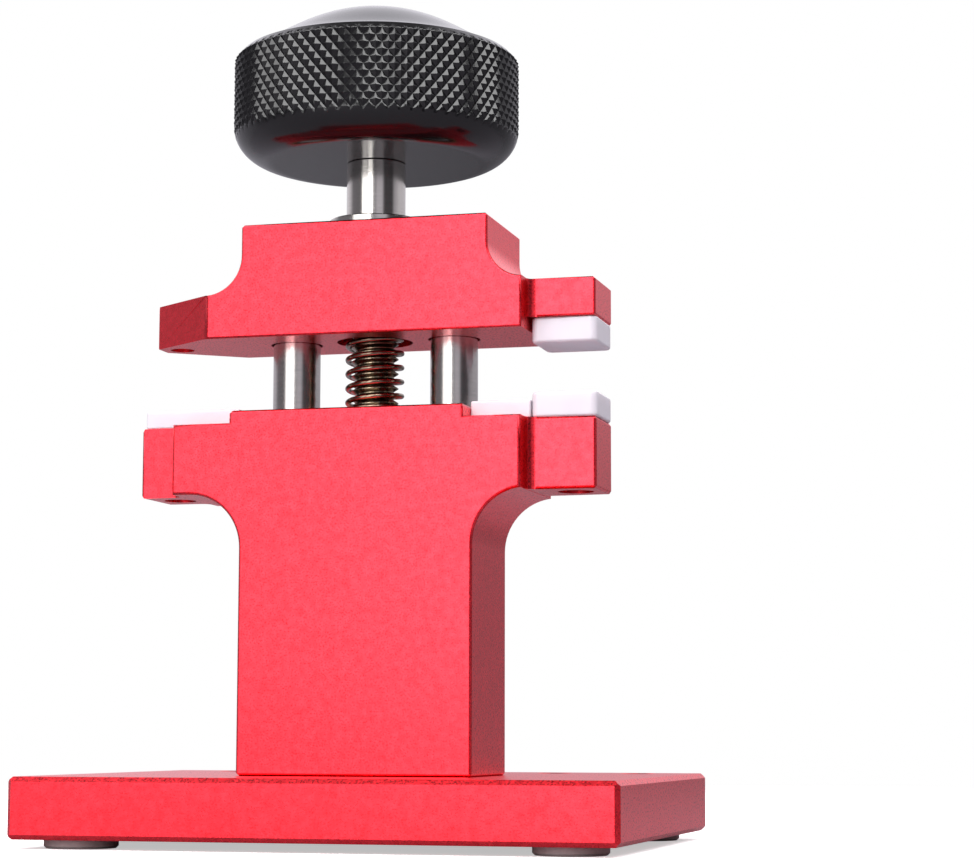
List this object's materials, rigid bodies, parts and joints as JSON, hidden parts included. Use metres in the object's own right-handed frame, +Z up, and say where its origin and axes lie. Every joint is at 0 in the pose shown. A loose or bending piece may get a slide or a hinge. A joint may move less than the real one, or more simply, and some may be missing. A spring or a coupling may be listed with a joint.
{
  "type": "watch case press",
  "caption": "Bench screw press for watch cases and bracelets: a knob drives a guided jaw down onto nylon blocks and a punch station on a T-shaped column.",
  "frame": {"origin": "middle of the base plate's outline, on the surface the feet stand on", "axes": "+Z up along the screw, +X to the right towards the nylon blocks, -Y to the front"},
  "size_m": [0.1, 0.074, 0.1412],
  "materials": {
    "red_anodised_aluminium": "fine blasted and red anodised",
    "foot_rubber": "moulded, matt",
    "black_screw_steel": "black oxide",
    "zinc_plated_steel": "zinc plated",
    "bush_brass": "turned",
    "bush_bronze": "sintered",
    "ground_steel": "ground and polished",
    "turned_steel": "turned",
    "white_nylon": "natural nylon, satin",
    "spring_steel": "oiled spring wire",
    "screw_steel": "rolled thread, oiled",
    "black_anodised_aluminium": "diamond knurled band, glossy black anodised",
    "blackened_tool_steel": "turned and blackened",
    "ring_steel": "spring wire"
  },
  "bodies": {
    "frame": {"base_plate": "red_anodised_aluminium", "foot_front_left": "foot_rubber", "foot_front_right": "foot_rubber", "foot_rear_left": "foot_rubber", "foot_rear_right": "foot_rubber", "column": "red_anodised_aluminium", "column_screws": "black_screw_steel", "threaded_bush": "bush_brass", "guide_post_left": "ground_steel", "guide_post_right": "ground_steel", "left_pad": "white_nylon", "left_pad_screw": "zinc_plated_steel", "right_pad": "white_nylon", "right_pad_screw": "zinc_plated_steel", "lower_block": "white_nylon", "lower_block_screw": "black_screw_steel", "return_spring": "spring_steel"},
    "jaw_assembly": {"jaw": "red_anodised_aluminium", "guide_bush_left": "bush_bronze", "guide_bush_right": "bush_bronze", "upper_block": "white_nylon", "upper_block_screw": "black_screw_steel", "thrust_washer": "turned_steel"},
    "knob_assembly": {"knob": "black_anodised_aluminium", "lead_screw": "screw_steel", "spacer_sleeve": "turned_steel"},
    "stored_punch_1": {"punch_1": "blackened_tool_steel", "punch_ring_1": "ring_steel"},
    "stored_punch_2": {"punch_2": "blackened_tool_steel", "punch_ring_2": "ring_steel"},
    "stored_punch_3": {"punch_3": "blackened_tool_steel", "punch_ring_3": "ring_steel"},
    "stored_punch_4": {"punch_4": "blackened_tool_steel", "punch_ring_4": "ring_steel"},
    "stored_punch_5": {"punch_5": "blackened_tool_steel", "punch_ring_5": "ring_steel"},
    "stored_punch_6": {"punch_6": "blackened_tool_steel", "punch_ring_6": "ring_steel"},
    "stored_punch_7": {"punch_7": "blackened_tool_steel", "punch_ring_7": "ring_steel"},
    "stored_punch_8": {"punch_8": "blackened_tool_steel", "punch_ring_8": "ring_steel"}
  },
  "joints": [
    {"name": "jaw_slide", "type": "slide", "parent": "frame", "child": "jaw_assembly", "axis": [0, 0, 1], "range_m": [-0.0078, 0.01], "deforming": ["return_spring"]},
    {"name": "knob_turn", "type": "hinge", "parent": "jaw_assembly", "child": "knob_assembly", "pos_m": [0.002, -0.008, 0.12], "axis": [0, 0, 1], "range_deg": [-2246, 2879]},
    {"name": "punch_1_lift", "type": "slide", "parent": "frame", "child": "stored_punch_1", "axis": [0, 0, 1], "range_m": [0, 0.0075]},
    {"name": "punch_2_lift", "type": "slide", "parent": "frame", "child": "stored_punch_2", "axis": [0, 0, 1], "range_m": [0, 0.0075]},
    {"name": "punch_3_lift", "type": "slide", "parent": "frame", "child": "stored_punch_3", "axis": [0, 0, 1], "range_m": [0, 0.0075]},
    {"name": "punch_4_lift", "type": "slide", "parent": "frame", "child": "stored_punch_4", "axis": [0, 0, 1], "range_m": [0, 0.0075]},
    {"name": "punch_5_lift", "type": "slide", "parent": "frame", "child": "stored_punch_5", "axis": [0, 0, 1], "range_m": [0, 0.0075]},
    {"name": "punch_6_lift", "type": "slide", "parent": "frame", "child": "stored_punch_6", "axis": [0, 0, 1], "range_m": [0, 0.0075]},
    {"name": "punch_7_lift", "type": "slide", "parent": "frame", "child": "stored_punch_7", "axis": [0, 0, 1], "range_m": [0, 0.0075]},
    {"name": "punch_8_lift", "type": "slide", "parent": "frame", "child": "stored_punch_8", "axis": [0, 0, 1], "range_m": [0, 0.0075]}
  ],
  "couplings": [
    {"joint": "jaw_slide", "follows": "knob_turn", "m_per_rad": 0.00019894}
  ]
}
